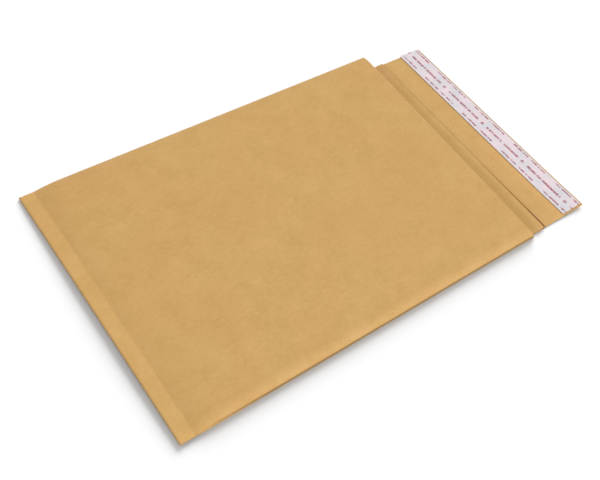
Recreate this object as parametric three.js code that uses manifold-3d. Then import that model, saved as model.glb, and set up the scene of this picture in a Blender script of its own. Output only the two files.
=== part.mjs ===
// A padded kraft envelope, lying flat and open with its closing side up: one folded kraft sheet around a
// bubble lining, with an adhesive stripe and its release liner on the flap. Units are millimetres.
// X runs from the bottom seal to the flap's end, Y from the near side fold to the far one, Z up from the table.

import * as THREE from 'three';
import { mergeVertices } from 'three/addons/utils/BufferGeometryUtils.js';
import Module from 'manifold-3d';

const wasm = await Module();
wasm.setup();

// The kraft sheet
const paper = 0.3;
const sleeveWidth = 236;
const bottomToMouth = 353;
const mouthSkew = 1.9;
const flapLength = 47;
const lapWidth = 18;
const joggleRun = 4;

// The bottom seal, which the padding holds off the table, and the ramp from it to the padded body
const sealDepth = 12;
const sealLift = 2.2;
const sealFilm = 0.6;
const rampLength = 22;
const weldRun = 2;

// The bubble lining and the room around it
const bubbleLayer = 2.3;
const pocketGap = 0.4;
const fitGap = 0.3;
const liningSideRoom = 4.7;
const liningSideRound = 2.2;
const pocketSideRoom = 1.5;

// The side folds
const foldDrop = 1.7;
const rollWidth = 10;
const foldRadius = 0.7;
const bottomBendHeight = 0.9;
const wallLean = 0.9;
const wallTuck = 0.4;
const cornerTuck = 2.2;
const cornerTuckLength = 75;
const tuckOpening = 6;
const innerBendShare = 0.7;

// The shoulder where the padding ends, and the plain lip in front of it
const shoulderLength = 9;
const creaseGap = 0.6;
const creaseSkew = 6.4;
const lipDepth = 11.1;
const lipHeight = 2.0;
const lipTilt = 0.8;
const lipRise = 3.5;

// The notches that free the lip from the flap
const farInset = 14;
const nearInset = 2.7;
const farNotchLength = 12.2;
const nearNotchLength = 15;
const notchSlant = 1.9;
const notchRadius = 2;

// The flap, and how far its two tips curl up off the table
const flapNearLift = 1.6;
const flapFarLift = 0.5;

// The adhesive stripe and its release liner
const linerWidth = 22.4;
const linerThickness = 0.25;
const linerEndMargin = 0.9;
const linerNearMargin = 1.6;
const linerOverhang = 1.5;
const linerEndSlant = 1.0;
const stripeWidth = 16;
const stripeThickness = 0.25;
const stripeEndMargin = 5;
const stackGap = 0.2;

// Where the main lines fall, worked out from the sizes above
const overallLength = bottomToMouth + flapLength;
const halfWidth = sleeveWidth / 2;
const bottomX = -overallLength / 2;
const sealX = bottomX + sealDepth;
const rampEndX = sealX + rampLength;
const mouthX = bottomX + bottomToMouth;
const flapEndX = overallLength / 2;
const creaseX = mouthX - lipDepth;
const shoulderX = creaseX - shoulderLength;
const farEdge = halfWidth - farInset;
const nearEdge = -halfWidth + nearInset;
const seamY = nearEdge + lapWidth;
const edgeRoom = 0.3;
const bottomBend = nearInset - edgeRoom;
const sealHeight = 2 * paper + sealFilm;
const creaseHeight = 3 * paper + creaseGap;
const padHeight = 2 * (paper + fitGap + bubbleLayer) + pocketGap;
const cutRoom = 5;

// How finely the curved stretches are divided
const rampSteps = 6;
const bodySteps = 9;
const shoulderSteps = 6;
const riseSteps = 3;
const lipSteps = 2;
const flapSteps = 7;
const flapColumnSteps = 6;
const notchCornerSteps = 5;
const bendAngles = [0, 30, 60, 90].map(THREE.MathUtils.degToRad);
const foldAngles = [0, 45, 90].map(THREE.MathUtils.degToRad);
const turnAngles = [-90, -45, 0, 45, 90].map(THREE.MathUtils.degToRad);
const wallShares = [0.25, 0.5, 0.75];
const rollShares = [0.75, 0.5, 0.25];
const panelShares = [1, 0.6, 0.3];

const { clamp, lerp, smoothstep } = THREE.MathUtils;

// Triangles across a loop that is long in Y and low in Z: two corners walk from its near end to its far end, one
// along the underside and one along the top, and the shorter rung between them is taken each time.
function closeLoop(loop) {
  const flat = loop.map((point) => new THREE.Vector2(point.y, point.z));
  const turnsLeft = (a, b, c) => THREE.ShapeUtils.area([flat[a], flat[b], flat[c]]) > 0;
  const faces = [];
  let low = 0;
  let high = loop.length - 1;
  while (low + 1 < high) {
    const lowRung = flat[low + 1].distanceTo(flat[high]);
    const highRung = flat[low].distanceTo(flat[high - 1]);
    const lowFits = turnsLeft(low, low + 1, high);
    const highFits = turnsLeft(low, high - 1, high);
    if (lowFits && (lowRung <= highRung || !highFits)) {
      faces.push([low, low + 1, high]);
      low += 1;
    } else {
      faces.push([low, high - 1, high]);
      high -= 1;
    }
  }
  return faces;
}

// A closed mesh through a row of loops with equal point counts. Seen from +X, each loop runs counter-clockwise.
function loft(loops) {
  const count = loops[0].length;
  const last = (loops.length - 1) * count;
  const indices = [];
  for (let i = 0; i + 1 < loops.length; i += 1) {
    for (let j = 0; j < count; j += 1) {
      const a = i * count + j;
      const b = i * count + ((j + 1) % count);
      indices.push(a, b, b + count, a, b + count, a + count);
    }
  }
  for (const [a, b, c] of closeLoop(loops[0])) {
    indices.push(a, c, b);
  }
  for (const [a, b, c] of closeLoop(loops.at(-1))) {
    indices.push(last + a, last + b, last + c);
  }
  const geometry = new THREE.BufferGeometry();
  const positions = loops.flat().flatMap((point) => point.toArray());
  geometry.setAttribute('position', new THREE.Float32BufferAttribute(positions, 3));
  geometry.setIndex(indices);
  return geometry;
}

function toSolid(geometry) {
  const vertProperties = new Float32Array(geometry.attributes.position.array);
  const triVerts = new Uint32Array(geometry.index.array);
  return new wasm.Manifold(new wasm.Mesh({ numProp: 3, vertProperties, triVerts }));
}

function toGeometry(solid) {
  const { vertProperties, triVerts } = solid.getMesh();
  const geometry = new THREE.BufferGeometry();
  geometry.setAttribute('position', new THREE.BufferAttribute(vertProperties, 3));
  geometry.setIndex(new THREE.BufferAttribute(triVerts, 1));
  geometry.computeVertexNormals();
  return geometry;
}

function makeMesh(name, geometry, material) {
  const mesh = new THREE.Mesh(geometry, new THREE.MeshStandardMaterial(material));
  mesh.name = name;
  return mesh;
}

const evenSteps = (from, to, steps) => Array.from({ length: steps }, (_, i) => lerp(from, to, (i + 1) / steps));

// Crosswise lines lean over by a few millimetres towards the mouth, as the crease and the cut edge do.
function skewAt(x) {
  if (x > creaseX) {
    return lerp(creaseSkew, mouthSkew, clamp((x - creaseX) / lipDepth, 0, 1));
  }
  return creaseSkew * smoothstep(x, rampEndX, shoulderX);
}

const place = (x, y, z) => new THREE.Vector3(x + skewAt(x) * y / sleeveWidth, y, z);

// Height of the underside above the table: the seal is held up, and the back panel comes down along the ramp.
function liftAt(x) {
  const left = 1 - clamp((x - sealX) / rampLength, 0, 1);
  return sealLift * left * left;
}

// Height of the closing side above the table on the section's middle part: the seal, the ramp that starts at
// a crisp line and eases into the padded body, the shoulder down to the crease, and the lip, higher at the near end.
function crownAt(x, y) {
  if (x > creaseX) {
    const lipTop = lipHeight - lipTilt * y / sleeveWidth;
    const rise = clamp((x - creaseX) / lipRise, 0, 1);
    return lerp(creaseHeight, lipTop, rise * (2 - rise));
  }
  if (x > rampEndX) {
    return lerp(padHeight, creaseHeight, smoothstep(x, shoulderX, creaseX));
  }
  const climb = clamp((x - sealX) / rampLength, 0, 1);
  return lerp(sealLift + sealHeight, padHeight, climb * (2 - climb));
}

const shareAt = (x, y) => (crownAt(x, y) - liftAt(x)) / padHeight;

// The closing side rolls down towards each side fold along a parabola.
function topAt(x, y) {
  const share = shareAt(x, y);
  const roll = clamp((Math.abs(y) - halfWidth + rollWidth) / (rollWidth - foldRadius * share), 0, 1);
  return crownAt(x, y) - foldDrop * share * roll * roll;
}

// Under the near side the back panel lies on the glued margin, one sheet higher, and steps down beyond it.
function lapRise(y) {
  if (y < nearEdge) {
    return 0;
  }
  return paper * clamp((seamY + joggleRun - y) / joggleRun, 0, 1);
}

// The side wall is tucked in a little all along, and more behind the seal's corner.
function tuckAt(x) {
  const fromSeal = x - sealX;
  const opening = smoothstep(fromSeal, 0, tuckOpening);
  const fading = 1 - smoothstep(fromSeal, tuckOpening, cornerTuckLength);
  const ending = 1 - smoothstep(x, shoulderX, creaseX);
  return opening * (wallTuck * ending + cornerTuck * fading);
}

// One side of the section from its underside up to the fold: the bottom bend, the tucked wall and the fold itself.
function sideWall(x, side, inset) {
  const share = shareAt(x, side * halfWidth);
  const ridge = topAt(x, side * halfWidth) - inset;
  const edge = halfWidth - inset;
  const tighter = inset > 0 ? innerBendShare : 1;
  const bendHeight = bottomBendHeight * share * tighter;
  const radius = foldRadius * share * tighter;
  const wallY = edge - wallLean;
  const underside = liftAt(x) + inset;
  const points = [];
  for (const angle of bendAngles) {
    const y = lerp(halfWidth - bottomBend, wallY, Math.sin(angle));
    points.push([y, underside + bendHeight * (1 - Math.cos(angle))]);
  }
  const wallLow = underside + bendHeight;
  const wallHigh = ridge - radius;
  for (const t of wallShares) {
    const tuck = tuckAt(x) * Math.sin(Math.PI * t);
    points.push([lerp(wallY, edge, t) - tuck, lerp(wallLow, wallHigh, t)]);
  }
  for (const angle of foldAngles) {
    points.push([edge - radius * (1 - Math.cos(angle)), wallHigh + radius * Math.sin(angle)]);
  }
  return points.map(([y, z]) => place(x, side * y, z));
}

// The whole section of the sleeve: its outer face, or its inner face one sheet further in.
function sleeveLoop(x, inner) {
  const inset = inner ? paper : 0;
  const lift = liftAt(x);
  const foldTop = halfWidth - foldRadius * shareAt(x, 0);
  const rollStart = halfWidth - rollWidth;
  const floor = [];
  if (inner) {
    floor.push([nearEdge, paper], [nearEdge, 2 * paper], [seamY - joggleRun, 2 * paper], [seamY, 2 * paper]);
  } else {
    floor.push([nearEdge, 0], [seamY - joggleRun, 0], [seamY, 0], [seamY, paper]);
  }
  floor.push([seamY + joggleRun, inset], [0, inset], [rollStart, inset]);
  const rollColumns = rollShares.map((share) => lerp(rollStart, foldTop, share));
  const columns = [...rollColumns, ...panelShares.map((share) => rollStart * share)];
  const topColumns = [...columns, 0, ...columns.map((y) => -y).reverse()];
  return [
    ...floor.map(([y, z]) => place(x, y, lift + z)),
    ...sideWall(x, 1, inset),
    ...topColumns.map((y) => place(x, y, topAt(x, y) - inset)),
    ...sideWall(x, -1, inset).reverse(),
  ];
}

// A flat strip of sheet as a loop: its underside from near to far, then its upper face back again.
function stripLoop(x, columns, undersideAt, thickness) {
  const underside = columns.map((y) => place(x, y, undersideAt(x, y)));
  const upper = columns.map((y) => place(x, y, undersideAt(x, y) + thickness));
  return [...underside, ...upper.reverse()];
}

// Lines along the flap, with one at each side of the step down beside the lap.
const flapColumns = (fromY, toY) => [
  fromY,
  seamY,
  seamY + joggleRun,
  ...evenSteps(seamY + joggleRun, toY, flapColumnSteps),
];

// The flap lies as the back panel does and curls up towards its end, more at the near tip.
function flapUnderside(x, y) {
  const reach = clamp((x - mouthX) / flapLength, 0, 1);
  const nearness = (halfWidth - y) / sleeveWidth;
  const lift = lerp(flapFarLift, flapNearLift, nearness * nearness);
  return lapRise(y) + lift * reach * reach;
}

// A cutter that takes a fold away from a station to past the mouth, with both corners rounded.
function notchCutter(side, startX, slant, inset) {
  const outer = halfWidth;
  const inner = halfWidth - inset;
  const radius = Math.min(notchRadius, inset / 2);
  const shape = new THREE.Shape();
  shape.moveTo(startX - radius, side * (outer + cutRoom));
  shape.lineTo(startX - radius, side * outer);
  shape.quadraticCurveTo(startX, side * outer, startX + slant * radius / inset, side * (outer - radius));
  shape.lineTo(startX + slant, side * (inner + radius));
  shape.quadraticCurveTo(startX + slant, side * inner, startX + slant + radius, side * inner);
  shape.lineTo(flapEndX, side * inner);
  shape.lineTo(flapEndX, side * (outer + cutRoom));
  const depth = padHeight + 2 * cutRoom;
  const geometry = new THREE.ExtrudeGeometry(shape, { depth, bevelEnabled: false, curveSegments: notchCornerSteps });
  geometry.translate(0, 0, -cutRoom);
  geometry.deleteAttribute('normal');
  geometry.deleteAttribute('uv');
  return toSolid(mergeVertices(geometry));
}

const rampStations = [weldRun, ...evenSteps(weldRun, rampLength, rampSteps)].map((step) => sealX + step);
const bodyStations = evenSteps(rampEndX, shoulderX, bodySteps);
const shoulderStations = evenSteps(shoulderX, creaseX, shoulderSteps);
const riseStations = evenSteps(creaseX, creaseX + lipRise, riseSteps);
const lipStations = [...riseStations, ...evenSteps(creaseX + lipRise, mouthX, lipSteps)];

// The kraft sheet, folded into a flat sleeve: both panels, the side folds, the margin glued under the near side,
// the welded bottom seal, the shoulder and lip, the two notches, and the flap that the back panel runs out into.
function kraftSleeve() {
  const hollowStations = [...rampStations, ...bodyStations, ...shoulderStations, ...lipStations];
  const outside = toSolid(loft([bottomX, sealX, ...hollowStations].map((x) => sleeveLoop(x, false))));
  const insideLoops = hollowStations.map((x) => sleeveLoop(x, true));
  const pastMouth = insideLoops.at(-1).map((point) => point.clone().setX(point.x + cutRoom));
  const inside = toSolid(loft([...insideLoops, pastMouth]));
  const mouthFarX = mouthX + mouthSkew / 2;
  const mouthNearX = mouthX - mouthSkew / 2;
  const farNotch = notchCutter(1, mouthFarX - farNotchLength, notchSlant, farInset);
  const nearNotch = notchCutter(-1, mouthNearX - nearNotchLength, 0, nearInset);
  const tube = outside.subtract(inside).subtract(farNotch).subtract(nearNotch);

  const columns = flapColumns(nearEdge, farEdge);
  const stations = [creaseX + lipRise, mouthX, ...evenSteps(mouthX, flapEndX, flapSteps)];
  const flapLoops = stations.map((x) => stripLoop(x, columns, flapUnderside, paper));
  const square = flapLoops.map((loop, i) => loop.map((point) => {
    const x = lerp(point.x, stations[i], clamp((stations[i] - mouthX) / flapLength, 0, 1));
    return point.clone().setX(x);
  }));
  return toGeometry(tube.add(toSolid(loft(square))));
}

// The bubble film, folded into a flat bag that fills the sleeve, pressed thin behind the seal and open at the shoulder.
const liningFloor = (x, y) => liftAt(x) + lapRise(y) + paper + fitGap;
const liningTop = (x, y) => topAt(x, y) - paper - fitGap;

function liningLoop(x) {
  const turn = halfWidth - liningSideRoom - liningSideRound;
  const rollStart = halfWidth - rollWidth;
  const floor = [-turn, seamY, seamY + joggleRun, 0].map((y) => place(x, y, liningFloor(x, y)));
  const columns = [rollStart, rollStart / 2, 0, -rollStart / 2, -rollStart];
  const top = columns.map((y) => place(x, y, liningTop(x, y)));
  const sideTurn = (side) => turnAngles.map((angle) => {
    const low = liningFloor(x, side * turn);
    const high = liningTop(x, turn);
    const y = turn + liningSideRound * Math.cos(angle);
    return place(x, side * y, lerp(low, high, (1 + Math.sin(angle)) / 2));
  });
  return [...floor, ...sideTurn(1), ...top, ...sideTurn(-1).slice(1).reverse()];
}

function pocketLoop(x) {
  const edge = halfWidth - liningSideRoom - liningSideRound - pocketSideRoom;
  const columns = [-edge, seamY, seamY + joggleRun, 0, edge];
  const middle = (at, y) => (liningFloor(at, y) + liningTop(at, y) - pocketGap) / 2;
  return stripLoop(x, columns, middle, pocketGap);
}

function bubbleLining() {
  const stations = [...rampStations.slice(1), ...bodyStations];
  const bag = toSolid(loft(stations.map(liningLoop)));
  const pocketStations = [rampEndX, ...bodyStations];
  const pocketLoops = pocketStations.map(pocketLoop);
  const pastEnd = pocketLoops.at(-1).map((point) => point.clone().setX(point.x + cutRoom));
  return toGeometry(bag.subtract(toSolid(loft([...pocketLoops, pastEnd]))));
}

// A band along the flap's end, at a height above the flap's upper face. Its far end is cut at a slant.
function flapBand(fromX, toX, nearY, farY, slant, lift, thickness) {
  const stations = [fromX, (fromX + toX) / 2, toX];
  const loops = stations.map((x) => {
    const far = farY - slant * (x - fromX) / (toX - fromX);
    const columns = flapColumns(nearY, far);
    const underside = (at, y) => flapUnderside(at, y) + paper + lift;
    return columns.map((y) => new THREE.Vector3(x, y, underside(x, y)))
      .concat(columns.map((y) => new THREE.Vector3(x, y, underside(x, y) + thickness)).reverse());
  });
  return loft(loops);
}

const linerEndX = flapEndX - linerEndMargin;
const linerStartX = linerEndX - linerWidth;
const stripeStartX = (linerStartX + linerEndX - stripeWidth) / 2;
const linerNearY = nearEdge + linerNearMargin;

function adhesiveStripe() {
  const fromY = linerNearY + stripeEndMargin;
  const toY = farEdge - stripeEndMargin;
  return flapBand(stripeStartX, stripeStartX + stripeWidth, fromY, toY, 0, stackGap, stripeThickness);
}

function releaseLiner() {
  const lift = stackGap + stripeThickness + stackGap;
  const toY = farEdge + linerOverhang;
  return flapBand(linerStartX, linerEndX, linerNearY, toY, linerEndSlant, lift, linerThickness);
}

const envelope = new THREE.Group();
envelope.add(
  makeMesh('kraft_sleeve', kraftSleeve(), { color: 0xcea668, roughness: 0.62, metalness: 0 }),
  makeMesh('bubble_lining', bubbleLining(), { color: 0xe4ebee, roughness: 0.3, metalness: 0 }),
  makeMesh('adhesive_stripe', adhesiveStripe(), { color: 0xe6d9a8, roughness: 0.35, metalness: 0 }),
  makeMesh('release_liner', releaseLiner(), { color: 0xe8dfe5, roughness: 0.45, metalness: 0 }),
);

export default envelope;
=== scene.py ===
import math
from functools import partial

import bpy
import numpy as np
from mathutils import Matrix, Vector


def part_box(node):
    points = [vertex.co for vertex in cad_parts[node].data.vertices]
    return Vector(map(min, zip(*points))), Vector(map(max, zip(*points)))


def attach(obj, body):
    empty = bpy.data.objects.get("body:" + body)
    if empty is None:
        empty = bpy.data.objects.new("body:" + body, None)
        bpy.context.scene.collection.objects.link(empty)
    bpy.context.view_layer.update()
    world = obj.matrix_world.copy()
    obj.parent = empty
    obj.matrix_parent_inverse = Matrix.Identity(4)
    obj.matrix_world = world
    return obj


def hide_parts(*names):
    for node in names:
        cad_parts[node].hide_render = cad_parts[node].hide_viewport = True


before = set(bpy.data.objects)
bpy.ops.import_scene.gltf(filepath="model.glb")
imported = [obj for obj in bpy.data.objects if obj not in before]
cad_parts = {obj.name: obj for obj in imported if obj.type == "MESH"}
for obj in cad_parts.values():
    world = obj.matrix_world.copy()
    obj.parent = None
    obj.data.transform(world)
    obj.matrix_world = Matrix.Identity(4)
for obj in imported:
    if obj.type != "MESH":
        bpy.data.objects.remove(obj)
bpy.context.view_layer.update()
print("frame loaded")

mm = 0.001
sleeveLow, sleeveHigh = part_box("kraft_sleeve")
halfLength = (sleeveHigh.x - sleeveLow.x) / 2 / mm
halfWidth = (sleeveHigh.y - sleeveLow.y) / 2 / mm
padHeight = (sleeveHigh.z - sleeveLow.z) / mm


# the kraft sleeve: its sizes are in millimetres, like all others down to the liner's print

sleeve = {
    "paper": 0.3,
    "sealDepth": 12,
    "sealLift": 2.7,
    "sealBow": 2.3,
    "sealBowY": -20,
    "sealHeight": 1.2,
    "rampLength": 22,
    "flapLength": 47,
    "lipDepth": 11.1,
    "shoulderLength": 5.5,
    "creaseHeight": 1.2,
    "creaseSkew": 6.4,
    "mouthSkew": 1.9,
    "lipHeight": 2.2,
    "lipTilt": 0.8,
    "lipRise": 9,
    "farInset": 14,
    "nearInset": 2.7,
    "farNotchLength": 12.2,
    "nearNotchLength": 15,
    "notchSlant": 1.9,
    "farRadius": 1.2,
    "nearRadius": 3.5,
    "lapWidth": 18,
    "lapAir": 0.03,
    "joggleRun": 4,
    "foldDrop": 1.7,
    "rollWidth": 10,
    "foldRadius": 0.7,
    "bottomBend": 2.4,
    "bottomBendHeight": 0.9,
    "wallLean": 0.1,
    "ridgeInset": 0.45,
    "wallTuck": 0.1,
    "cornerTuck": 0.5,
    "cornerTuckLength": 75,
    "tuckOpening": 6,
    "nearLift": 1.6,
    "farLift": 0.5,
}

bottomX = -halfLength
sealX = bottomX + sleeve["sealDepth"]
rampEndX = sealX + sleeve["rampLength"]
mouthX = halfLength - sleeve["flapLength"]
creaseX = mouthX - sleeve["lipDepth"]
shoulderX = creaseX - sleeve["shoulderLength"]
farEdge = halfWidth - sleeve["farInset"]
nearEdge = -halfWidth + sleeve["nearInset"]
seamY = nearEdge + sleeve["lapWidth"]


def smoothStep(x, low, high):
    # from 0 to 1 as x runs from low to high, level at both ends: three squares of t less two cubes
    t = np.clip((x - low) / (high - low), 0, 1)
    return t * t * (3 - 2 * t)


def mix(a, b, t):
    # straight from a to b as t runs from 0 to 1
    return a + (b - a) * t


def skewAt(x):
    # how far a line across the envelope leans: a smooth step up to the crease's lean, then a straight run to
    # the mouth's
    beyond = np.clip((x - creaseX) / sleeve["lipDepth"], 0, 1)
    before = sleeve["creaseSkew"] * smoothStep(x, rampEndX, shoulderX)
    return np.where(x > creaseX, mix(sleeve["creaseSkew"], sleeve["mouthSkew"], beyond), before)


def sealLiftAt(y):
    # the seal stands off the table in a shallow bow, lowest at the far corner: a parabola across
    away = (y - sleeve["sealBowY"]) / (halfWidth - sleeve["sealBowY"])
    return sleeve["sealLift"] - sleeve["sealBow"] * away * away


def liftAt(x, y):
    # the back panel comes down from the seal to the table along the ramp: a parabola that ends level
    left = 1 - np.clip((x - sealX) / sleeve["rampLength"], 0, 1)
    return sealLiftAt(y) * left * left


def crownAt(x, y):
    # the closing side's height along the middle: a parabola up the ramp, level, a smooth step down the
    # shoulder to the crease, and a parabola up the lip
    climb = np.clip((x - sealX) / sleeve["rampLength"], 0, 1)
    start = sealLiftAt(y) + sleeve["sealHeight"]
    body = mix(start, padHeight, climb * (2 - climb))
    shoulder = mix(padHeight, sleeve["creaseHeight"], smoothStep(x, shoulderX, creaseX))
    rise = np.clip((x - creaseX) / sleeve["lipRise"], 0, 1)
    lipTop = sleeve["lipHeight"] - sleeve["lipTilt"] * y / (2 * halfWidth)
    lip = mix(sleeve["creaseHeight"], lipTop, rise * (2 - rise))
    return np.where(x > creaseX, lip, np.where(x > rampEndX, shoulder, body))


def shareAt(x, y):
    # thickness here as a share of the full thickness
    return (crownAt(x, y) - liftAt(x, y)) / padHeight


def topAt(x, y):
    # the crown rolls down to both side folds as a parabola, less where the envelope is thin
    share = shareAt(x, y)
    reach = sleeve["rollWidth"] - sleeve["foldRadius"] * share
    roll = np.clip((np.abs(y) - halfWidth + sleeve["rollWidth"]) / reach, 0, 1)
    return crownAt(x, y) - sleeve["foldDrop"] * share * roll * roll


def lapRise(y):
    # the back panel lies on the glued margin, and comes off it in a straight joggle of one sheet
    step = np.clip((seamY + sleeve["joggleRun"] - y) / sleeve["joggleRun"], 0, 1)
    return (sleeve["paper"] + sleeve["lapAir"]) * step


def tuckAt(x):
    # how far the side walls are pushed in: most just behind the seal, with smooth steps on and off
    opening = smoothStep(x - sealX, 0, sleeve["tuckOpening"])
    fading = 1 - smoothStep(x - sealX, sleeve["tuckOpening"], sleeve["cornerTuckLength"])
    ending = 1 - smoothStep(x, shoulderX, creaseX)
    return opening * (sleeve["wallTuck"] * ending + sleeve["cornerTuck"] * fading)


def flapLift(x, y):
    # the flap curls off the table as a parabola, more at its near side
    reach = np.clip((x - mouthX) / sleeve["flapLength"], 0, 1)
    nearness = (halfWidth - y) / (2 * halfWidth)
    return mix(sleeve["farLift"], sleeve["nearLift"], nearness * nearness) * reach * reach


# the filled panel is slightly uneven: where its waves fade in and out, how long they are, and their shares
wave = {
    "height": 0.12,
    "sink": 1.2,
    "fadeInAtRamp": (-14, 10),
    "fadeOutAtShoulder": (-6, 2),
    "fadeOutAtSides": (16, 5),
    "broad": (31, 27),
    "broadPhase": (0.9, 0.4),
    "slanting": (17, 23),
    "slantingShare": 0.7,
    "fineOne": (8.1, 13.7),
    "fineTwo": (21, 9.3),
    "fineShare": 0.35,
}


def waves(x, y):
    # a few long sine waves that cross each other, sunk so that they hardly rise over the panel
    (broadX, broadY), (phaseX, phaseY) = wave["broad"], wave["broadPhase"]
    (slantX, slantY), (oneX, oneY), (twoX, twoY) = wave["slanting"], wave["fineOne"], wave["fineTwo"]
    broad = np.sin(x / broadX + phaseX) * np.sin(y / broadY + phaseY)
    slanting = wave["slantingShare"] * np.sin(x / slantX - y / slantY)
    fine = wave["fineShare"] * np.sin(x / oneX + y / oneY) * np.sin(y / twoY - x / twoX)
    (rampFrom, rampTo), (shoulderFrom, shoulderTo) = wave["fadeInAtRamp"], wave["fadeOutAtShoulder"]
    sideFrom, sideTo = wave["fadeOutAtSides"]
    fade = smoothStep(x, rampEndX + rampFrom, rampEndX + rampTo)
    fade = fade * (1 - smoothStep(x, shoulderX + shoulderFrom, shoulderX + shoulderTo))
    fade = fade * (1 - smoothStep(np.abs(y), halfWidth - sideFrom, halfWidth - sideTo))
    return wave["height"] * fade * (broad + slanting + fine - wave["sink"]) / 2


def spaced(stops, steps):
    # even steps between each two stops, as one array
    runs = [np.linspace(a, b, n, endpoint=False) for a, b, n in zip(stops, stops[1:], steps)]
    return np.concatenate(runs + [[stops[-1]]])


def sideWall(x, side, steps):
    # one side of every section, from the bottom bend up the tucked wall to the rounded fold: two quarter
    # ellipses, and between them a straight line pushed in by a sine
    half = sleeve["paper"] / 2
    sideLine = 0 * x + side * halfWidth
    share = shareAt(x, sideLine)[:, None]
    base = liftAt(x, sideLine)[:, None] + half
    ridge = (topAt(x, sideLine) - half)[:, None]
    bendHeight = sleeve["bottomBendHeight"] * share
    radius = sleeve["foldRadius"] * share
    wallY = halfWidth - half - sleeve["wallLean"]
    edge = halfWidth - half - sleeve["ridgeInset"] * share
    bend = np.linspace(0, math.pi / 2, steps, endpoint=False)[None, :]
    bendY = mix(halfWidth - sleeve["bottomBend"], wallY, np.sin(bend)) + 0 * share
    bendZ = base + bendHeight * (1 - np.cos(bend))
    t = np.linspace(0, 1, 2 * steps, endpoint=False)[None, :]
    wallHeights = mix(base + bendHeight, ridge - radius, t)
    wallYs = mix(wallY, edge, t) - tuckAt(x)[:, None] * np.sin(math.pi * t)
    fold = np.linspace(0, math.pi / 2, steps)[None, :]
    foldY = edge - radius * (1 - np.cos(fold))
    foldZ = ridge - radius + radius * np.sin(fold)
    return side * np.hstack([bendY, wallYs, foldY]), np.hstack([bendZ, wallHeights, foldZ])


def thickSheet(points, quads, thickness):
    # a sheet of even thickness: the middle surface moved half the thickness along its normals both ways,
    # with a strip of quads round every open edge
    corners = points[quads]
    across = np.cross(corners[:, 2] - corners[:, 0], corners[:, 3] - corners[:, 1])
    normals = np.zeros_like(points)
    for k in range(4):
        np.add.at(normals, quads[:, k], across)
    used = np.unique(quads)
    lookup = np.full(len(points), -1)
    lookup[used] = np.arange(len(used))
    quads = lookup[quads]
    normals = normals[used] / np.linalg.norm(normals[used], axis=1)[:, None]
    middle = points[used]
    count = len(middle)
    vertices = np.vstack([middle + normals * thickness / 2, middle - normals * thickness / 2])
    edges = np.stack([quads, np.roll(quads, -1, axis=1)], axis=2).reshape(-1, 2)
    keys = edges[:, 0] * count + edges[:, 1]
    twins = edges[:, 1] * count + edges[:, 0]
    rim = edges[~np.isin(keys, twins)]
    rimQuads = np.column_stack([rim[:, 1], rim[:, 0], rim[:, 0] + count, rim[:, 1] + count])
    return vertices, np.vstack([quads, quads[:, ::-1] + count, rimQuads])


def writeMesh(name, vertices, faces, keepSharp=35):
    # faces all have the same number of corners; edges that turn by more than keepSharp degrees stay sharp
    mesh = bpy.data.meshes.new(name)
    size = faces.shape[1]
    mesh.vertices.add(len(vertices))
    mesh.vertices.foreach_set("co", (vertices * mm).astype(np.float32).ravel())
    mesh.loops.add(faces.size)
    mesh.loops.foreach_set("vertex_index", faces.astype(np.int32).ravel())
    mesh.polygons.add(len(faces))
    mesh.polygons.foreach_set("loop_start", np.arange(0, faces.size, size, dtype=np.int32))
    mesh.polygons.foreach_set("loop_total", np.full(len(faces), size, np.int32))
    mesh.update(calc_edges=True)
    mesh.validate()
    mesh.polygons.foreach_set("use_smooth", np.ones(len(mesh.polygons), bool))
    mesh.set_sharp_from_angle(angle=math.radians(keepSharp))
    piece = bpy.data.objects.new(name, mesh)
    bpy.context.collection.objects.link(piece)
    return piece


def gridQuads(rows, columns):
    # quads between the points of a grid that is numbered row by row
    i, j = np.meshgrid(np.arange(rows - 1), np.arange(columns - 1), indexing="ij")
    a = (i * columns + j).ravel()
    return np.column_stack([a, a + columns, a + columns + 1, a + 1])


# rows and columns of the sleeve's mesh lie closer at the ramp, the shoulder, the crease and the notches
sleeveGrid = {
    "behindSeal": 6,
    "beforeShoulder": 4,
    "beforeCrease": 1.5,
    "behindCrease": 4,
    "rowSteps": (8, 8, 12, 130, 22, 11, 9, 30),
    "besideFarNotch": 4,
    "besideNearNotch": 8,
    "backSteps": (9, 5, 56, 8, 8),
    "marginSteps": (10,),
    "topSteps": (9, 8, 66, 10, 3),
    "bendSteps": 6,
}


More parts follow.
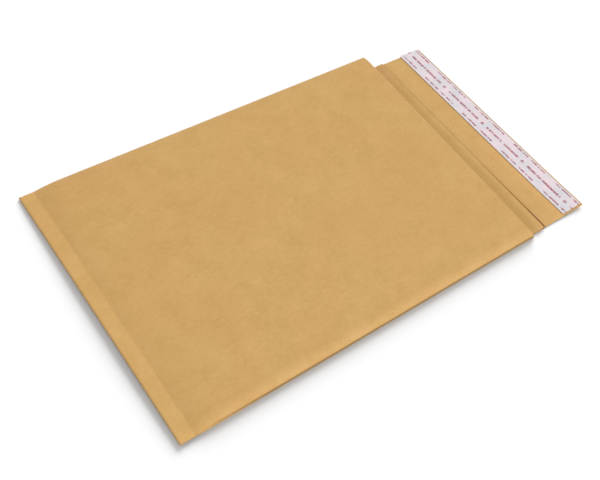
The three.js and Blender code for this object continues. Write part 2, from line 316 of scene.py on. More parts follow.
def kraftSleeve():
    # one strip of paper taken round the section, from the back panel's free edge over the far fold, the
    # closing side and the near fold to the glued margin's free edge, at every station from the seal to the
    # flap's end
    half = sleeve["paper"] / 2
    rowStops = [
        bottomX,
        sealX,
        sealX + sleeveGrid["behindSeal"],
        rampEndX,
        shoulderX - sleeveGrid["beforeShoulder"],
        creaseX - sleeveGrid["beforeCrease"],
        creaseX + sleeveGrid["behindCrease"],
        mouthX,
        halfLength,
    ]
    x = spaced(rowStops, sleeveGrid["rowSteps"])
    stations = x[:, None]
    mouthRow = len(x) - 1 - sleeveGrid["rowSteps"][-1]
    bend = halfWidth - sleeve["bottomBend"]
    foldTop = halfWidth - half - sleeve["foldRadius"]
    farOut, farIn = farEdge + sleeveGrid["besideFarNotch"], farEdge - sleeveGrid["besideFarNotch"]
    nearIn = nearEdge + sleeveGrid["besideNearNotch"]
    backStops = [nearEdge, seamY, seamY + sleeve["joggleRun"], farIn, farOut, bend]
    backY = spaced(backStops, sleeveGrid["backSteps"])
    marginY = spaced([-bend, seamY], sleeveGrid["marginSteps"])
    topY = spaced([foldTop, farOut, farIn, nearIn, nearEdge, -foldTop], sleeveGrid["topSteps"])
    farY, farZ = sideWall(x, 1, sleeveGrid["bendSteps"])
    nearY, nearZ = sideWall(x, -1, sleeveGrid["bendSteps"])

    # columns in the order of the sheet
    backZ = liftAt(stations, backY) + lapRise(backY) + half + flapLift(stations, backY)
    topX = stations + 0 * topY
    topZ = topAt(topX, topY) - half + waves(topX, topY)
    marginZ = liftAt(stations, marginY) + half
    every = np.ones_like(stations)
    y = np.hstack([every * backY[:-1], farY, every * topY[1:-1], nearY[:, ::-1], every * marginY[1:]])
    z = np.hstack([backZ[:, :-1], farZ, topZ[:, 1:-1], nearZ[:, ::-1], marginZ[:, 1:]])
    square = np.clip((stations - mouthX) / sleeve["flapLength"], 0, 1)
    lean = skewAt(stations) * (1 - square)
    points = np.stack([stations + lean * y / (2 * halfWidth), y, z], axis=2)
    columns = y.shape[1]

    # which quads stay: past the mouth only the flap, and beside the notches nothing beyond their sides
    hair = 1e-6  # takes up rounding
    flapColumns = int(np.sum(backY <= farEdge + hair))
    row, column = np.meshgrid(np.arange(len(x) - 1), np.arange(columns - 1), indexing="ij")
    centre = (points[:-1, :-1] + points[1:, :-1] + points[1:, 1:] + points[:-1, 1:]) / 4
    inFlap = column < flapColumns - 1
    farX = mouthX + sleeve["mouthSkew"] / 2 - sleeve["farNotchLength"]
    nearX = mouthX - sleeve["mouthSkew"] / 2 - sleeve["nearNotchLength"]
    farLine = farX + sleeve["notchSlant"] * np.clip((halfWidth - y) / sleeve["farInset"], 0, 1)
    farLineAt = (farLine[:-1, :-1] + farLine[1:, 1:]) / 2
    farGone = (centre[..., 1] > farEdge) & (centre[..., 0] > farLineAt)
    nearGone = (centre[..., 1] < nearEdge) & (centre[..., 0] > nearX)
    keep = ((row < mouthRow) | inFlap) & ~farGone & ~nearGone

    # the cut edges follow their true lines: open corners beside a notch slide along X onto them, and are
    # rounded off at the fold by a quarter circle
    notches = (
        (farGone, farLine, 1, sleeve["farRadius"]),
        (nearGone, nearX + 0 * y, -1, sleeve["nearRadius"]),
    )
    for gone, line, side, radius in notches:
        cutRow = np.zeros_like(y, bool)
        borderRows = gone[1:] & ~gone[:-1]
        cutRow[1:-1, :-1] |= borderRows
        cutRow[1:-1, 1:] |= borderRows
        outward = np.clip(side * y - (halfWidth - radius), 0, radius)
        rounding = radius - np.sqrt(radius ** 2 - outward ** 2)
        points[..., 0] = np.where(cutRow, line - rounding, points[..., 0])
    quads = gridQuads(len(x), columns)[keep.ravel()]
    sheet, sheetFaces = thickSheet(points.reshape(-1, 3), quads[:, ::-1], sleeve["paper"])
    bar, barFaces = weldedSeal()
    faces = np.vstack([sheetFaces, barFaces + len(sheet)])
    return writeMesh("kraftSheet", np.vstack([sheet, bar]), faces)


# between the panels the seal is one welded bar, set back a little from the cut edges
weld = {"cutInset": 0.12, "sideInset": 0.8, "frontInset": 1, "paperShare": 0.9, "steps": 60}


def weldedSeal():
    # a bar with four long sides that follows the seal's bow in even steps
    halfBar = halfWidth - weld["sideInset"]
    inside = sleeve["paper"] * weld["paperShare"]
    y = np.linspace(-halfBar, halfBar, weld["steps"])
    low = sealLiftAt(y) + inside
    high = sealLiftAt(y) + sleeve["sealHeight"] - inside
    cutX, frontX = bottomX + weld["cutInset"], sealX - weld["frontInset"]
    corners = [(cutX, low), (frontX, low), (frontX, high), (cutX, high)]
    rows = [np.stack([0 * y + x, y, 0 * y + z], axis=1) for x, z in corners]
    count = len(y)
    along = np.arange(count - 1)
    sides = []
    for a, b in ((0, 1), (1, 2), (2, 3), (3, 0)):
        first, second = along + a * count, along + b * count
        sides.append(np.column_stack([first, second, second + 1, first + 1]))
    nearEnd = [0, 3 * count, 2 * count, count]
    farEnd = [count - 1, 2 * count - 1, 3 * count - 1, 4 * count - 1]
    return np.vstack(rows), np.vstack(sides + [[nearEnd, farEnd]])[:, ::-1]


# bubble lining: two layers of film that face each other, each flat with air domes on its outer side

lining = {
    "pitch": 10,
    "domeRadius": 4.3,
    "domeTop": 0.62,
    "domeFoot": 0.4,
    "film": 0.35,
    "filmShare": 0.6,
    "pocketGap": 0.4,
    "pocketShare": 0.3,
    "fitGap": 0.3,
    "sideRoom": 4.7,
    "sideRadius": 2.2,
    "sideLeast": 0.12,
    "closedStart": 0.24,
    "closedRun": 5,
    "closedLeast": 0.1,
    "roomLeast": 0.3,
    "beforeCrease": 9,
    "step": 1.76,
    "keepSharp": 60,
}


def bubbleHeight(x, y):
    # flat-topped domes on a hexagonal lattice: a smooth step of the distance to the nearest lattice point
    pitch = lining["pitch"]
    rowStep = pitch * math.sqrt(3) / 2
    best = np.full(np.broadcast(x, y).shape, np.inf)
    base = np.round(x / rowStep)
    for shift in (-1, 0, 1):
        line = base + shift
        offset = np.where(np.mod(line, 2) == 0, 0.0, pitch / 2)
        nearest = np.round((y - offset) / pitch) * pitch + offset
        best = np.minimum(best, np.hypot(x - line * rowStep, y - nearest))
    radius = lining["domeRadius"]
    return 1 - smoothStep(best, radius * lining["domeTop"], radius + lining["domeFoot"])


def bubbleLining():
    # the space inside the sleeve, less the fit gap, rounded off at both sides as a quarter circle and at
    # the closed end by a smooth step; film and pocket take their share of it where it is thin
    inset = sleeve["paper"] + lining["fitGap"]
    startX = sealX + sleeve["rampLength"] * lining["closedStart"]
    endX = creaseX - lining["beforeCrease"]
    edge = halfWidth - lining["sideRoom"]
    x = np.linspace(startX, endX, int((endX - startX) / lining["step"]) + 1)
    y = np.linspace(-edge, edge, int(2 * edge / lining["step"]) + 1)
    gridX, gridY = np.meshgrid(x, y, indexing="ij")
    low = liftAt(gridX, gridY) + lapRise(gridY) + inset
    high = topAt(gridX, gridY) - inset + np.minimum(waves(gridX, gridY), 0)
    middle = (low + high) / 2
    fromSide = np.clip((edge - np.abs(gridY)) / lining["sideRadius"], 0, 1)
    rounding = np.maximum(np.sqrt(fromSide * (2 - fromSide)), lining["sideLeast"])
    closing = np.maximum(smoothStep(gridX, startX, startX + lining["closedRun"]), lining["closedLeast"])
    room = np.maximum(high - middle, lining["roomLeast"]) * rounding * closing
    slit = np.minimum(lining["pocketGap"] / 2, room * lining["pocketShare"])
    thin = np.minimum(lining["film"], room * lining["filmShare"])
    outer = mix(slit + thin, room, bubbleHeight(gridX, gridY))
    place = gridX + skewAt(gridX) * gridY / (2 * halfWidth)
    heights = (middle + outer, middle + slit, middle - slit, middle - outer)
    sheets = [np.stack([place, gridY, z], axis=2).reshape(-1, 3) for z in heights]
    rows, columns = gridX.shape
    count = rows * columns
    quads = gridQuads(rows, columns)
    index = np.arange(count).reshape(rows, columns)
    faces = [quads, quads[:, ::-1] + count, quads + 2 * count, quads[:, ::-1] + 3 * count]

    def strip(line, a, b):
        # quads that join one line of points on sheet a to the same line on sheet b
        onA, onB = line + a * count, line + b * count
        return np.column_stack([onA[:-1], onA[1:], onB[1:], onB[:-1]])

    near, far, closed, mouth = index[:, 0], index[:, -1], index[0], index[-1]
    faces += [strip(mouth, 1, 0), strip(mouth, 3, 2)]
    # inside faces of the bag meet at the folded sides and the closed end, and so do its outer faces
    faces += [strip(near, 0, 3), strip(far, 3, 0), strip(closed, 3, 0)]
    faces += [strip(near, 2, 1), strip(far, 1, 2), strip(closed, 1, 2)]
    return writeMesh("bubbleFilm", np.vstack(sheets), np.vstack(faces), lining["keepSharp"])


# release liner, over the hot-melt stripe on the flap

liner = {
    "width": 21.3,
    "thickness": 0.15,
    "endMargin": 1.5,
    "nearMargin": 1.6,
    "overhang": 1.5,
    "endSlant": 1.0,
    "rippleHeight": 0.06,
    "rippleLengths": (7.3, 19),
    "rippleTurn": 2.1,
    "rows": 15,
    "columns": 151,
}
linerEndX = halfLength - liner["endMargin"]
linerStartX = linerEndX - liner["width"]
linerNearY = nearEdge + liner["nearMargin"]

# hot-melt stripe: a flat bead on the flap, hidden under the liner
stripe = {
    "width": 16,
    "thickness": 0.25,
    "endMargin": 5,
    "gap": 0.05,
    "roundPower": 6,
    "edgeLeast": 0.02,
    "fullness": 0.92,
    "streakHeight": 0.02,
    "streaksAcross": 2.9,
    "streakLength": 5,
    "rows": 17,
    "columns": 101,
    "keepSharp": 50,
}


def flapTop(x, y):
    # the flap's upper side over the table: its curl, the joggle and one sheet of paper
    return flapLift(x, y) + lapRise(y) + sleeve["paper"]


def releaseLiner():
    # a strip that follows the flap, with a ripple that grows towards the flap's end: a product of two sines
    across = np.linspace(0, 1, liner["rows"])[:, None]
    along = np.linspace(0, 1, liner["columns"])[None, :]
    x = mix(linerStartX, linerEndX, across) + 0 * along
    farY = farEdge + liner["overhang"] - liner["endSlant"] * across
    y = mix(linerNearY, farY, along)
    lift = 2 * stripe["gap"] + stripe["thickness"] + liner["thickness"] / 2
    short, long = liner["rippleLengths"]
    ripple = liner["rippleHeight"] * np.sin(y / short) * np.sin(y / long + across * liner["rippleTurn"])
    z = flapTop(x, y) + lift + ripple * across
    points = np.stack([x, y, z], axis=2).reshape(-1, 3)
    quads = gridQuads(liner["rows"], liner["columns"])
    return writeMesh("linerTape", *thickSheet(points, quads, liner["thickness"]))


def adhesiveStripe():
    # a flat bead with faint streaks, rounded at both long sides: its height across is the root of one less
    # the sixth power of the distance from its middle
    across = np.linspace(-1, 1, stripe["rows"])[:, None]
    along = np.linspace(0, 1, stripe["columns"])[None, :]
    middleX = (linerStartX + linerEndX) / 2
    x = middleX + across * stripe["width"] / 2 + 0 * along
    y = mix(linerNearY + stripe["endMargin"], farEdge - stripe["endMargin"], along) + 0 * across
    base = flapTop(x, y) + stripe["gap"]
    rounded = np.clip(1 - np.abs(across) ** stripe["roundPower"], stripe["edgeLeast"], 1)
    bead = np.sqrt(rounded) * stripe["thickness"] + 0 * along
    streaks = np.sin(x * stripe["streaksAcross"]) * np.sin(y / stripe["streakLength"])
    fullness = stripe["fullness"] + stripe["streakHeight"] * streaks
    lower = np.stack([x, y, base], axis=2).reshape(-1, 3)
    upper = np.stack([x, y, base + bead * fullness], axis=2).reshape(-1, 3)
    count = x.size
    quads = gridQuads(*x.shape)
    index = np.arange(count).reshape(x.shape)
    ring = np.concatenate([index[:-1, 0], index[-1, :-1], index[:0:-1, -1], index[0, :0:-1]])
    ahead = np.roll(ring, -1)
    walls = np.column_stack([ring, ahead, ahead + count, ring + count])
    faces = np.vstack([quads[:, ::-1], quads + count, walls])
    return writeMesh("hotMeltStripe", np.vstack([lower, upper]), faces, stripe["keepSharp"])


# materials: colours are sRGB hex values, and the size of a pattern is given in millimetres

def linear(color):
    # an sRGB hex value as the linear colour that Blender works in; a number is a grey level, linear already
    if not isinstance(color, str):
        return [color, color, color, 1]
    rgb = [int(color[i:i + 2], 16) / 255 for i in (0, 2, 4)]
    return [c / 12.92 if c <= 0.04045 else ((c + 0.055) / 1.055) ** 2.4 for c in rgb] + [1]


def addNode(tree, kind, inputs=(), stops=(), **settings):
    # one node with its settings, its inputs in order or by name, and the stops of a colour ramp; an input
    # is a value, a socket to link, or a node whose first output is linked
    made = tree.nodes.new("ShaderNode" + kind)
    for name, value in settings.items():
        setattr(made, name, value)
    pairs = inputs.items() if isinstance(inputs, dict) else enumerate(inputs)
    for key, value in pairs:
        if isinstance(value, bpy.types.Node):
            value = value.outputs[0]
        if isinstance(value, bpy.types.NodeSocket):
            tree.links.new(value, made.inputs[key])
        else:
            made.inputs[key].default_value = value
    if stops:
        points = made.color_ramp.elements
        while len(points) < len(stops):
            points.new(1)
        for point, (place, color) in zip(points, stops):
            point.position = place
            point.color = linear(color)
    return made


def newMaterial(name):
    # an empty material, and the function that adds a node to it
    material = bpy.data.materials.new(name)
    material.use_nodes = True
    material.node_tree.nodes.clear()
    return material, partial(addNode, material.node_tree)


def perMetre(size):
    # scale of a noise whose patches are this many millimetres across
    return 1 / (size * mm)


kraftLook = {
    "light": "d6ab6b",
    "dark": "cea361",
    "patch": "d2a163",
    "paintedMouthShade": "7a4308",
    "cloudSize": 14.29,
    "patchSize": 62.5,
    "fibreSize": 1.111,
    "grainSize": 0.3846,
    "fibreStretch": 0.35,
    "patchShare": 0.5,
    "fleckShare": 0.55,
    "fibreRelief": 0.6,
    "grainRelief": 0.4,
    "reliefHeight": 0.08,
    "reliefStrength": 0.16,
}


def kraftTone(add, where):
    # the paper's tone over the envelope, most of it painted highlight and painted shade, and the painted
    # shadow at its mouth, which takes a colour of its own
    inMillimetres = add("VectorMath", {0: where, "Scale": 1 / mm}, operation="SCALE")
    place = add("SeparateXYZ", [inMillimetres])
    alongX, alongY = place.outputs[0], place.outputs[1]
    fromMiddle = add("Math", [alongY], operation="ABSOLUTE")
    normal = add("SeparateXYZ", [add("NewGeometry").outputs["Normal"]])
    upward = add("Math", [normal.outputs[2], 0.5], operation="GREATER_THAN")
    upright = add("Math", [normal.outputs[2]], operation="ABSOLUTE")

    # distance along X past the two leaning lines across the envelope
    past = {}
    for name, lineX, skew in (("crease", creaseX, "creaseSkew"), ("mouth", mouthX, "mouthSkew")):
        leaning = add("Math", [alongY, -sleeve[skew] / (2 * halfWidth), alongX], operation="MULTIPLY_ADD")
        past[name] = add("Math", [leaning, lineX], operation="SUBTRACT")

    # each change of tone: what it runs along, where it starts and ends, and its values there
    runs = {
        # partly real burnish and partly painted highlight along the side folds
        "foldBurnishAndHighlight": (fromMiddle, halfWidth - 9, halfWidth - 1.5, 0, 0.07),
        "sealPress": (alongX, sealX - 0.5, sealX + 0.6, 0.05, 0),
        # painted highlight over the flap, and painted glare on it beside the liner's near end
        "flapHighlightPainted": (alongX, mouthX + 2, mouthX + 6, 0, 0.035),
        "linerGlarePainted": (alongX, linerStartX - 12, linerStartX - 1, 0, 0.1),
        "linerGlarePaintedNear": (alongY, -60, 30, 1, 0),
        # painted shade in the crease
        "creaseStart": (past["crease"], -6.5, 2.2, 0, 1),
        "creaseDepth": (past["crease"], 3, 10.5, 0.13, 0.015),
        # where the painted shadow line at the mouth lies on the lip and on the flap, and how deep it is
        "lipBand": (alongY, nearEdge, farEdge, -1.4, -1.0),
        "flapLine": (alongY, nearEdge, farEdge, 1.75, 1.2),
        "paintedMouthShadeDepth": (alongY, -108, -20, 0.93, 0.31),
        # painted shadow of the liner's inner edge on the flap
        "linerShade": (alongX, linerStartX - 1.1, linerStartX - 0.6, 0, 0.2),
        # painted shade along the seal's cut edge
        "sealRimShade": (alongX, bottomX + 0.2, bottomX + 1.9, 0.26, 0),
        # painted shade on side walls and cut edges, where they face sideways
        "wallShadePainted": (upright, 0.1, 0.7, 0.55, 1),
    }
    tone = {name: add("MapRange", run, interpolation_type="SMOOTHSTEP") for name, run in runs.items()}

    # lighter at the side folds, partly real burnish and partly painted highlight, and in the pressed seal;
    # a painted highlight over the flap and painted glare beside the liner's near end
    onFlap = [tone["linerGlarePainted"], tone["linerGlarePaintedNear"], tone["flapHighlightPainted"]]
    lighter = add("Math", onFlap, operation="MULTIPLY_ADD")
    for name in ("foldBurnishAndHighlight", "sealPress"):
        lighter = add("Math", [lighter, tone[name]], operation="ADD")
    level = add("Math", [lighter, 1], operation="ADD")
    # painted shade: greyed on cut edges and side walls, darker in the crease and at the seal's rim, and a
    # painted shadow beside the liner's inner edge
    level = add("Math", [level, tone["wallShadePainted"]], operation="MULTIPLY")
    crease = add("Math", [tone["creaseStart"], tone["creaseDepth"]], operation="MULTIPLY")
    crease = add("Math", [crease, upward], operation="MULTIPLY")
    level = add("Math", [level, crease], operation="SUBTRACT")
    paintedRimShade = add("Math", [tone["linerShade"], tone["sealRimShade"]], operation="MAXIMUM")
    paintedRimShade = add("Math", [paintedRimShade, upward], operation="MULTIPLY")
    paintedRimShade = add("Math", [1, paintedRimShade], operation="SUBTRACT")
    level = add("Math", [level, paintedRimShade], operation="MULTIPLY")

    # painted shadow at the mouth: a band on the lip's edge and a line on the flap past it, both deepest at
    # the near end
    bandEnd, bandSoftness, lineWidth = 0.05, 0.5, (0.15, 0.45)
    onLip = add("Math", [past["mouth"], tone["lipBand"]], operation="SUBTRACT")
    onLip = add("MapRange", [onLip, 0, bandSoftness, 0, 1], interpolation_type="SMOOTHSTEP")
    beforeEnd = add("Math", [past["mouth"], bandEnd], operation="LESS_THAN")
    onLip = add("Math", [onLip, beforeEnd], operation="MULTIPLY")
    onLine = add("Math", [past["mouth"], tone["flapLine"]], operation="SUBTRACT")
    onLine = add("Math", [onLine], operation="ABSOLUTE")
    onLine = add("MapRange", [onLine, *lineWidth, 1, 0], interpolation_type="SMOOTHSTEP")
    paintedMouthShade = add("Math", [onLip, onLine], operation="MAXIMUM")
    for factor in (upward, tone["paintedMouthShadeDepth"]):
        paintedMouthShade = add("Math", [paintedMouthShade, factor], operation="MULTIPLY")
    return level, paintedMouthShade


def kraftPaper():
    # machine-glazed kraft paper, calendered: golden brown, cloudy, with short fibres in the sheet and a low
    # sheen that breaks up where they stand. Real fibres are finer, and drawn this coarse so that they show
    look = kraftLook
    material, add = newMaterial("kraftPaperGlazed")
    where = add("TexCoord").outputs["Object"]
    cloudInputs = {"Vector": where, "Scale": perMetre(look["cloudSize"]), "Detail": 4, "Roughness": 0.55}
    clouds = add("TexNoise", cloudInputs)
    patches = add("TexNoise", {"Vector": where, "Scale": perMetre(look["patchSize"]), "Detail": 2})
    grain = add("TexNoise", {"Vector": where, "Scale": perMetre(look["grainSize"]), "Detail": 2})
    stretched = add("Mapping", {"Vector": where, "Scale": (look["fibreStretch"], 1, 1)})
    fibres = add("TexNoise", {"Vector": stretched, "Scale": perMetre(look["fibreSize"]), "Detail": 3})

    # a colour mix takes its factor in input 0 and its colours in 6 and 7, and gives the result as output 2
    cloudColor = add("ValToRGB", [clouds], [(0.3, look["dark"]), (0.7, look["light"])])
    patchy = add("ValToRGB", [patches], [(0.42, 0), (0.7, 1)])
    patchy = add("Math", [patchy, look["patchShare"]], operation="MULTIPLY")
    warm = add("Mix", {0: patchy, 6: cloudColor, 7: linear(look["patch"])}, data_type="RGBA")
    fleck = add("ValToRGB", [fibres], [(0.32, 0.9), (0.5, 1), (0.72, 1.06)])
    mixed = {0: look["fleckShare"], 6: warm.outputs[2], 7: fleck}
    flecked = add("Mix", mixed, data_type="RGBA", blend_type="MULTIPLY")
    level, paintedMouthShade = kraftTone(add, where)
    toned = add("VectorMath", {0: flecked.outputs[2], "Scale": level}, operation="SCALE")
    # the painted shadow at the mouth is a richer brown than the sheet, not a grey
    paintedMouthShaded = add("Mix", {0: paintedMouthShade, 6: toned, 7: linear(look["paintedMouthShade"])}, data_type="RGBA")

    relief = add("Math", [grain, look["grainRelief"]], operation="MULTIPLY")
    relief = add("Math", [fibres, look["fibreRelief"], relief], operation="MULTIPLY_ADD")
    depth = look["reliefHeight"] * mm
    bump = add("Bump", {"Height": relief, "Strength": look["reliefStrength"], "Distance": depth})
    shader = add("BsdfPrincipled", {
        "Base Color": paintedMouthShaded.outputs[2],
        "Roughness": add("ValToRGB", [fibres], [(0.3, 0.66), (0.7, 0.5)]),
        "Normal": bump,
        "IOR": 1.5,
        "Specular IOR Level": 0.3,
    })
    add("OutputMaterial", {"Surface": shader})
    return material


filmLook = {"shade": "dfe6e8", "light": "f1f5f6", "hazeSize": 4.167}


def bubbleFilm():
    # polyethylene bubble film, blown and welded: clear with a milky cast, soft gloss
    material, add = newMaterial("polyethyleneBubbleFilm")
    where = add("TexCoord").outputs["Object"]
    haze = add("TexNoise", {"Vector": where, "Scale": perMetre(filmLook["hazeSize"]), "Detail": 3})
    shader = add("BsdfPrincipled", {
        "Base Color": add("ValToRGB", [haze], [(0.3, filmLook["shade"]), (0.7, filmLook["light"])]),
        "Roughness": add("ValToRGB", [haze], [(0.3, 0.2), (0.7, 0.34)]),
        "IOR": 1.51,
        "Transmission Weight": 0.45,
    })
    add("OutputMaterial", {"Surface": shader})
    return material


meltLook = {"shade": "dccb8e", "light": "eee2b8", "streakSize": 1.429, "streakStretch": 0.05}


def hotMelt():
    # pressure-sensitive hot melt, slot-coated: pale amber, wet gloss, streaked along the web
    material, add = newMaterial("hotMeltAdhesive")
    where = add("TexCoord").outputs["Object"]
    along = add("Mapping", {"Vector": where, "Scale": (1, meltLook["streakStretch"], 1)})
    streak = add("TexNoise", {"Vector": along, "Scale": perMetre(meltLook["streakSize"]), "Detail": 2})
    shader = add("BsdfPrincipled", {
        "Base Color": add("ValToRGB", [streak], [(0.3, meltLook["shade"]), (0.7, meltLook["light"])]),
        "Roughness": add("ValToRGB", [streak], [(0.3, 0.16), (0.7, 0.3)]),
        "IOR": 1.49,
        "Subsurface Weight": 0.15,
    })
    add("OutputMaterial", {"Surface": shader})
    return material


# the liner's print: rows measured across from its inner edge, groups of bars measured along from its near
# end, and one dot after each middle group
linerPrint = {
    "shade": "dcdadf",
    "light": "efdde2",
    "ink": "a34a58",
    "hazeSize": 11.11,
    "fadeSize": 2.381,
    "period": 52.5,
    "outerRows": ((2.3, 4.1), (18.2, 20)),
    "outerGroups": ((0, 18.5), (21, 39.5)),
    "outerStart": 40.5,
    "outerBar": 0.75,
    "outerInked": 0.78,
    "middleRow": (9.8, 12.1),
    "middleGroup": (0, 41),
    "middleStart": 14.2,
    "middleBar": 1.1,
    "middleInked": 0.86,
    "dotPlace": (47, 10.95),
    "dotRadius": 1.6125,
}


def linerPaper():
    # siliconed release paper with three rows of small rose marks, printed flexo: bars and dots
    material, add = newMaterial("siliconedReleasePaper")
    where = add("TexCoord").outputs["Object"]
    place = add("SeparateXYZ", [where])
    across = add("Math", [place.outputs[0], 1 / mm, -linerStartX], operation="MULTIPLY_ADD")
    along = add("Math", [place.outputs[1], 1 / mm, -linerNearY], operation="MULTIPLY_ADD")

    def inside(value, limits):
        # 1 between the limits, else 0
        above = add("Math", [value, limits[0]], operation="GREATER_THAN")
        below = add("Math", [value, limits[1]], operation="LESS_THAN")
        return add("Math", [above, below], operation="MULTIPLY")

    def sinceStart(start):
        # how far along its own period each place is
        past = add("Math", [along, start], operation="SUBTRACT")
        return add("Math", [past, linerPrint["period"], 0], operation="WRAP")

    def bars(width, share, seed):
        # one random number for each bar along the liner; a share of them carries ink
        cell = add("Math", [along, width], operation="DIVIDE")
        cell = add("Math", [cell], operation="FLOOR")
        spot = add("CombineXYZ", [cell, seed])
        random = add("TexWhiteNoise", {"Vector": spot}, noise_dimensions="3D")
        return add("Math", [random, share], operation="LESS_THAN")

    outerPlace = sinceStart(linerPrint["outerStart"])
    outerRows = [inside(across, row) for row in linerPrint["outerRows"]]
    outerGroups = [inside(outerPlace, group) for group in linerPrint["outerGroups"]]
    outerRow = add("Math", outerRows, operation="ADD")
    outerGroup = add("Math", outerGroups, operation="ADD")
    outerBars = bars(linerPrint["outerBar"], linerPrint["outerInked"], 3.0)
    middlePlace = sinceStart(linerPrint["middleStart"])
    middleRow = inside(across, linerPrint["middleRow"])
    middleGroup = inside(middlePlace, linerPrint["middleGroup"])
    middleBars = bars(linerPrint["middleBar"], linerPrint["middleInked"], 7.0)
    squares = []
    for value, centre in zip((middlePlace, across), linerPrint["dotPlace"]):
        away = add("Math", [value, centre], operation="SUBTRACT")
        squares.append(add("Math", [away, away], operation="MULTIPLY"))
    dots = add("Math", squares, operation="ADD")
    dots = add("Math", [dots, linerPrint["dotRadius"] ** 2], operation="LESS_THAN")

    ink = dots
    printed = ((outerRow, outerGroup, outerBars), (middleRow, middleGroup, middleBars))
    for row, group, inked in printed:
        marks = add("Math", [row, group], operation="MULTIPLY")
        marks = add("Math", [marks, inked], operation="MULTIPLY")
        ink = add("Math", [ink, marks], operation="ADD")
    ink = add("Math", [ink, 1], operation="MINIMUM")
    fading = add("TexNoise", {"Vector": where, "Scale": perMetre(linerPrint["fadeSize"]), "Detail": 2})
    faded = add("ValToRGB", [fading], [(0.3, 0.45), (0.62, 0.92)])
    strength = add("Math", [ink, faded], operation="MULTIPLY")
    haze = add("TexNoise", {"Vector": where, "Scale": perMetre(linerPrint["hazeSize"]), "Detail": 2})
    paper = add("ValToRGB", [haze], [(0.35, linerPrint["shade"]), (0.65, linerPrint["light"])])
    color = add("Mix", {0: strength, 6: paper, 7: linear(linerPrint["ink"])}, data_type="RGBA")
    shader = add("BsdfPrincipled", {
        "Base Color": color.outputs[2],
        "Roughness": add("ValToRGB", [haze], [(0.3, 0.34), (0.7, 0.44)]),
        "IOR": 1.45,
    })
    add("OutputMaterial", {"Surface": shader})
    return material


def seenDirectly(add):
    # 1 for what the camera sees, also in gloss and through film, and 0 for light that falls on the pieces
    path = add("LightPath")
    seen = path.outputs["Is Camera Ray"]
    for ray in ("Is Glossy Ray", "Is Transmission Ray"):
        seen = add("Math", [seen, path.outputs[ray]], operation="MAXIMUM")
    return seen


# the studio floor, in metres: its glow grows from the least to the full with the distance from the middle
floorLook = {
    "color": "e9e9e9",
    "halfSize": 4.0,
    "drop": 0.00002,
    "glowFrom": 0.3,
    "glowTo": 0.75,
    "glowLeast": 0.05,
}


def studioFloor():
    # plain white floor, matt: to the camera it is white where no shadow falls, and beyond the envelope's
    # shadow it brightens evenly out to the horizon
    material, add = newMaterial("studioFloorWhite")
    where = add("TexCoord").outputs["Object"]
    distance = add("VectorMath", [where], operation="LENGTH").outputs["Value"]
    glowRun = [floorLook[name] for name in ("glowFrom", "glowTo", "glowLeast")]
    outside = add("MapRange", [distance, *glowRun, 1])
    strength = add("Math", [seenDirectly(add), outside], operation="MULTIPLY")
    glow = add("Emission", {"Color": linear(1), "Strength": strength})
    matt = add("BsdfPrincipled", {
        "Base Color": linear(floorLook["color"]),
        "Roughness": 1.0,
        "Specular IOR Level": 0.0,
    })
    add("OutputMaterial", {"Surface": add("AddShader", [matt, glow])})
    return material


def dress(piece, material, nodeName):
    piece.data.materials.append(material)
    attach(piece, "root")
    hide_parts(nodeName)
    print("made", piece.name, len(piece.data.polygons), "faces")
    return piece


pieces = [
    dress(kraftSleeve(), kraftPaper(), "kraft_sleeve"),
    dress(bubbleLining(), bubbleFilm(), "bubble_lining"),
    dress(adhesiveStripe(), hotMelt(), "adhesive_stripe"),
    dress(releaseLiner(), linerPaper(), "release_liner"),
]

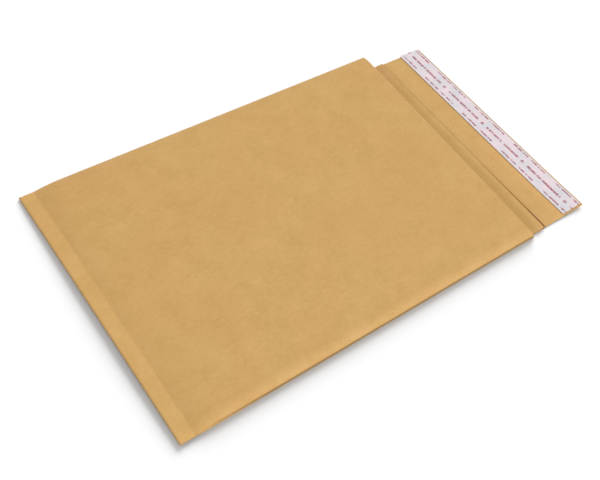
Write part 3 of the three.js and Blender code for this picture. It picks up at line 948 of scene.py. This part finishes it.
# camera, in metres: where the photograph was taken from, over the bottom seal's near corner
view = {
    "place": (-0.32585, -0.29619, 0.52670),
    "forward": (0.44131, 0.41391, -0.79620),
    "up": (0.40324, 0.70117, 0.58801),
    "lens": 50.82,
    "sensor": 36,
}
cameraData = bpy.data.cameras.new("studioCamera")
cameraData.lens = view["lens"]
cameraData.sensor_width = view["sensor"]
camera = bpy.data.objects.new("studioCamera", cameraData)
bpy.context.collection.objects.link(camera)
forward = Vector(view["forward"]).normalized()
right = forward.cross(Vector(view["up"])).normalized()
turn = Matrix((right, right.cross(forward), -forward)).transposed()
camera.matrix_world = Matrix.Translation(view["place"]) @ turn.to_4x4()
bpy.context.scene.camera = camera

floorMesh = bpy.data.meshes.new("studioFloor")
reach = floorLook["halfSize"]
floorCorners = [(-reach, -reach, 0), (reach, -reach, 0), (reach, reach, 0), (-reach, reach, 0)]
floorMesh.from_pydata(floorCorners, [], [(0, 1, 2, 3)])
floor = bpy.data.objects.new("studioFloor", floorMesh)
floor.location.z = -floorLook["drop"]
bpy.context.collection.objects.link(floor)
floorMesh.materials.append(studioFloor())

# light: an even white room, a broad soft panel over the near right side for the envelope alone, and a low
# soft lamp behind the flap for the floor alone, which draws the envelope's shadow to the front and left
panel = {"place": (2.9, -2.9, 4.88), "size": 4.1, "watts": 212}
floorLamp = {"from": (0.749, 0.629, 0.208), "spread": 52, "strength": 8.6}
ambient = 0.6


def addLamp(name, kind, place, lit, **settings):
    # a lamp that points from its place to the middle of the table and lights nothing but the given objects
    data = bpy.data.lights.new(name, kind)
    for key, value in settings.items():
        setattr(data, key, value)
    lamp = bpy.data.objects.new(name, data)
    lamp.location = place
    lamp.rotation_euler = (-Vector(place)).to_track_quat("-Z", "Y").to_euler()
    bpy.context.collection.objects.link(lamp)
    receivers = bpy.data.collections.new(name + "Receivers")
    for item in lit:
        receivers.objects.link(item)
    lamp.light_linking.receiver_collection = receivers


addLamp("softPanel", "AREA", panel["place"], pieces, size=panel["size"], energy=panel["watts"])
spread = math.radians(floorLamp["spread"])
addLamp("floorLamp", "SUN", floorLamp["from"], [floor], angle=spread, energy=floorLamp["strength"])

world = bpy.data.worlds.new("whiteRoom")
bpy.context.scene.world = world
world.use_nodes = True
world.node_tree.nodes.clear()
addRoom = partial(addNode, world.node_tree)
level = addRoom("Math", [seenDirectly(addRoom), 1 - ambient, ambient], operation="MULTIPLY_ADD")
sky = addRoom("Background", {"Color": linear(1), "Strength": level})
addRoom("OutputWorld", {"Surface": sky})
bpy.context.scene.view_settings.view_transform = "Standard"
print("stage set")
